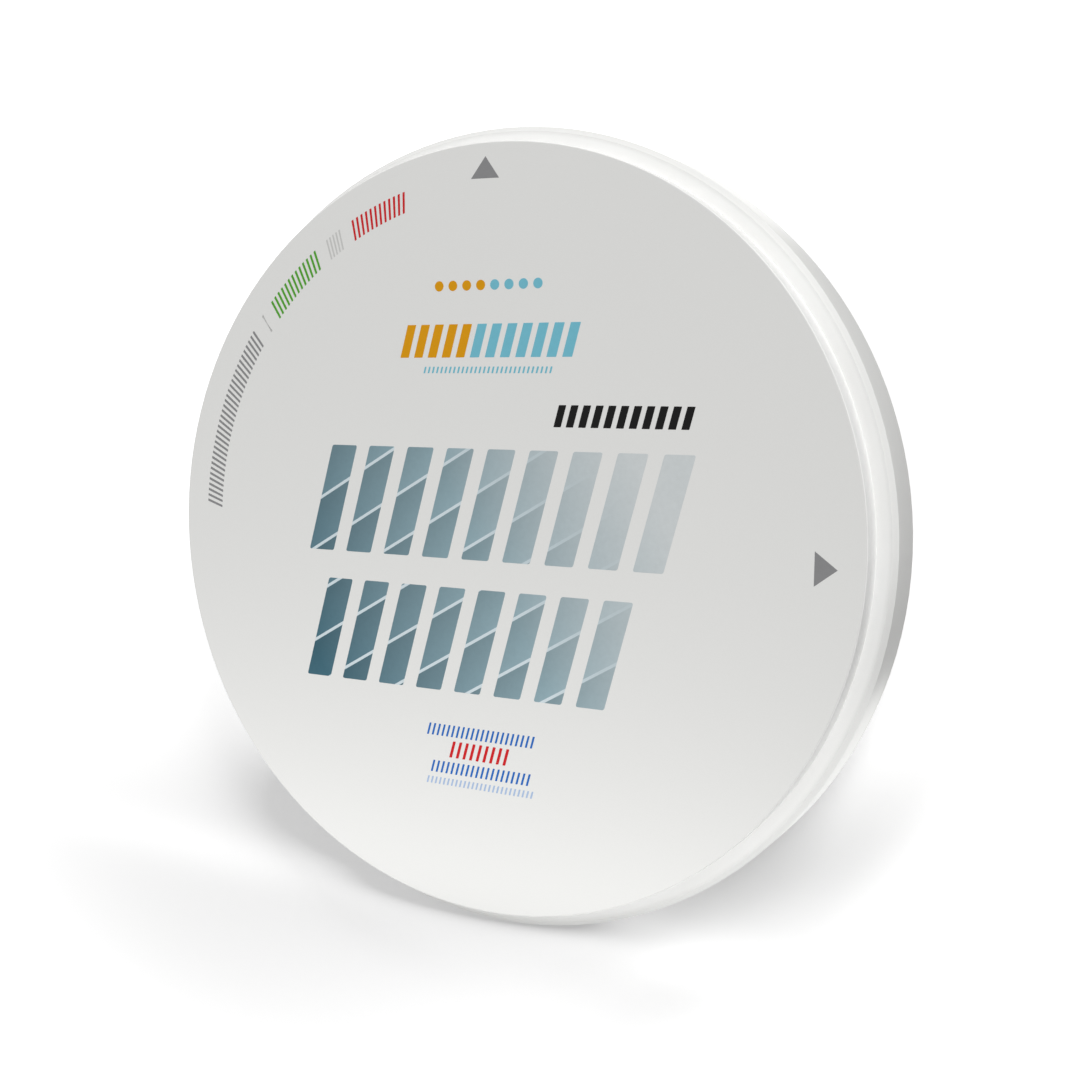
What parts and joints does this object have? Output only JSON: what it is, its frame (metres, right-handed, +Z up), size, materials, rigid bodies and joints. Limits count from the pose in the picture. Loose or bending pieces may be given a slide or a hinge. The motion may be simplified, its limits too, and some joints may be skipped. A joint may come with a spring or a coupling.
{
  "type": "dental milling disc",
  "caption": "Flat round blank of pre-sintered zirconia with a wide stepped collar, from which a dental milling machine cuts crowns and bridges.",
  "frame": {"origin": "centre of the flat back face, on which the disc lies", "axes": "+Z up the disc's axis through the printed face, +Y towards the mark at the top of the print, +X towards the mark at its right"},
  "size_m": [0.0984, 0.0984, 0.014],
  "materials": {
    "pressed_zirconia": "pressed and turned, chalky matt white",
    "printed_ink": "thin matt pad-printed ink"
  },
  "bodies": {
    "root": {"milling_disc": "pressed_zirconia"}
  },
  "joints": []
}
